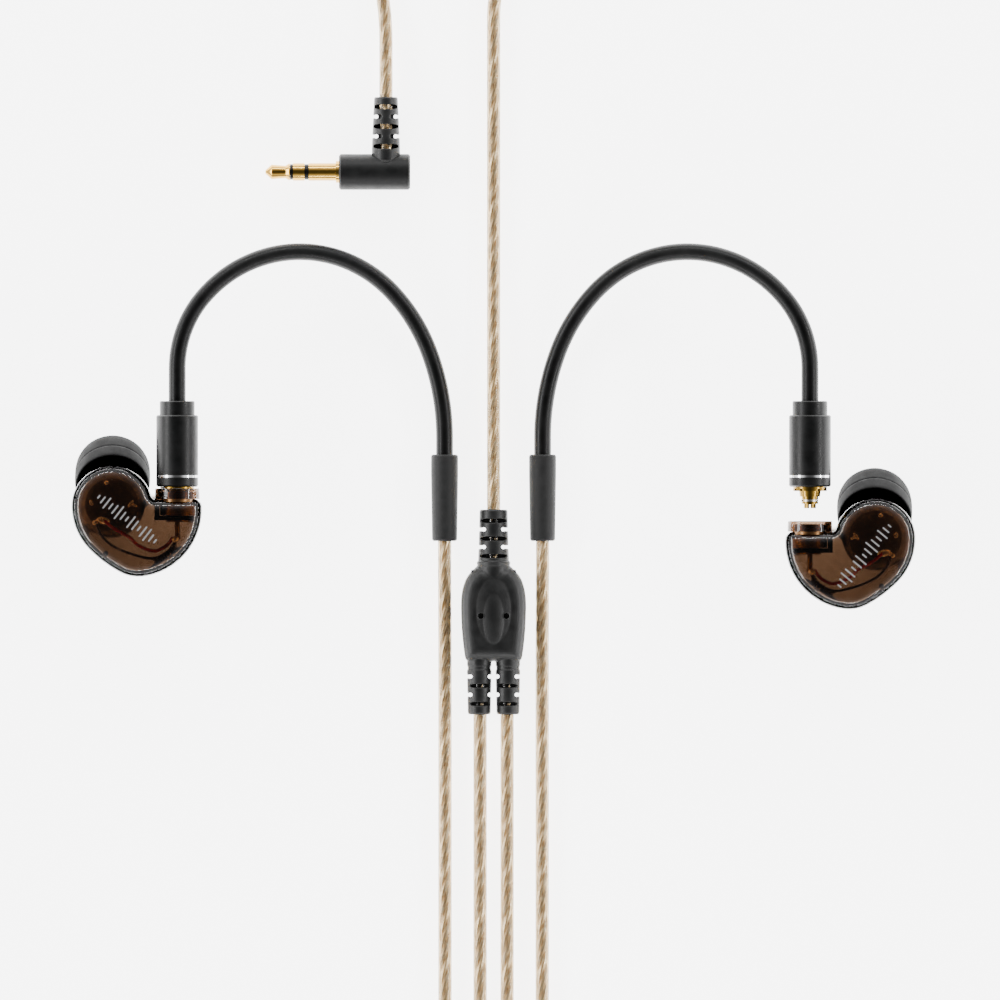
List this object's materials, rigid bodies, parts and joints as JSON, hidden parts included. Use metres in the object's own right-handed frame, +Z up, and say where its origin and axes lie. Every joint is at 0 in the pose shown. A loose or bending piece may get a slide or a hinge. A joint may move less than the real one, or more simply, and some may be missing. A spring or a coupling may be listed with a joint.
{
  "type": "in ear monitors",
  "caption": "Pair of wired in-ear monitors with over-ear hooks, detachable coaxial plugs, a Y splitter and a right-angle 3.5 mm jack plug.",
  "frame": {"origin": "middle of the pair's footprint on the table, without its free cords: X halfway between the earphones, Y halfway between the top of the hooks and the end of the splitter's legs, Z on the table", "axes": "+X from the left earphone to the right one, +Y along the main cable from the splitter towards the jack plug, +Z up from the table, through the faceplates"},
  "size_m": [0.1668, 0.2953, 0.0231],
  "materials": {
    "black_anodised": "matte",
    "chrome_trim": "polished",
    "gold_plate": "polished",
    "white_dielectric": "matte",
    "hook_tubing": "satin",
    "sleeve_rubber": "matte",
    "cable_core": "satin",
    "clear_cable": "gloss",
    "smoke_shell": "gloss",
    "bronze_collar": "gloss",
    "steel_mesh": "matte",
    "steel_part": "satin",
    "driver_can": "gloss",
    "diaphragm_film": "satin",
    "black_polymer": "satin",
    "tinned_contact": "satin",
    "red_enamel": "gloss",
    "black_enamel": "gloss",
    "tip_silicone": "matte",
    "splitter_tpe": "satin"
  },
  "bodies": {
    "cable": {"left_barrel": "black_anodised", "left_trim_ring": "chrome_trim", "left_barrel_nose": "black_anodised", "left_plug_body": "gold_plate", "left_plug_core": "white_dielectric", "left_hook_tube": "hook_tubing", "left_hook_cable": "cable_core", "left_hook_sleeve": "sleeve_rubber", "left_branch_cable": "clear_cable", "right_barrel": "black_anodised", "right_trim_ring": "chrome_trim", "right_barrel_nose": "black_anodised", "right_plug_body": "gold_plate", "right_plug_core": "white_dielectric", "right_hook_tube": "hook_tubing", "right_hook_cable": "cable_core", "right_hook_sleeve": "sleeve_rubber", "right_branch_cable": "clear_cable", "splitter_body": "splitter_tpe", "splitter_core": "black_polymer", "main_cable": "clear_cable", "main_coil": "clear_cable", "plug_lead": "clear_cable", "plug_housing": "black_anodised", "plug_boot": "splitter_tpe", "plug_sleeve": "gold_plate", "plug_ring": "gold_plate", "plug_insulator": "black_polymer", "plug_tip": "gold_plate"},
    "left_snap": {"left_snap_ring": "steel_part"},
    "left_earphone": {"left_outer_shell": "smoke_shell", "left_inner_shell": "smoke_shell", "left_shell_pins": "smoke_shell", "left_nozzle_mesh": "steel_mesh", "left_driver_frame": "black_polymer", "left_driver_magnet": "steel_part", "left_driver_diaphragm": "diaphragm_film", "left_driver_cover": "driver_can", "left_socket_collar": "bronze_collar", "left_socket_jack": "gold_plate", "left_socket_core": "tinned_contact", "left_red_wire": "red_enamel", "left_black_wire": "black_enamel"},
    "left_tip": {"left_ear_tip": "tip_silicone"},
    "right_snap": {"right_snap_ring": "steel_part"},
    "right_earphone": {"right_outer_shell": "smoke_shell", "right_inner_shell": "smoke_shell", "right_shell_pins": "smoke_shell", "right_nozzle_mesh": "steel_mesh", "right_driver_frame": "black_polymer", "right_driver_magnet": "steel_part", "right_driver_diaphragm": "diaphragm_film", "right_driver_cover": "driver_can", "right_socket_collar": "bronze_collar", "right_socket_jack": "gold_plate", "right_socket_core": "tinned_contact", "right_red_wire": "red_enamel", "right_black_wire": "black_enamel"},
    "right_tip": {"right_ear_tip": "tip_silicone"}
  },
  "joints": [
    {"name": "left_swivel", "type": "hinge", "parent": "cable", "child": "left_snap", "pos_m": [-0.06248, -0.0043, 0.018], "axis": [0, 1, 0], "continuous": true},
    {"name": "left_pull", "type": "slide", "parent": "left_snap", "child": "left_earphone", "axis": [0, -1, 0], "range_m": [0, 0.018]},
    {"name": "left_tip_pull", "type": "slide", "parent": "left_earphone", "child": "left_tip", "axis": [0, 0.4695, -0.8829], "range_m": [0, 0.008]},
    {"name": "right_swivel", "type": "hinge", "parent": "cable", "child": "right_snap", "pos_m": [0.06248, -0.0043, 0.018], "axis": [0, 1, 0], "continuous": true},
    {"name": "right_plug_in", "type": "slide", "parent": "right_snap", "child": "right_earphone", "axis": [0, 1, 0], "range_m": [-0.0115, 0.00644]},
    {"name": "right_tip_pull", "type": "slide", "parent": "right_earphone", "child": "right_tip", "axis": [0, 0.4695, -0.8829], "range_m": [0, 0.008]}
  ]
}
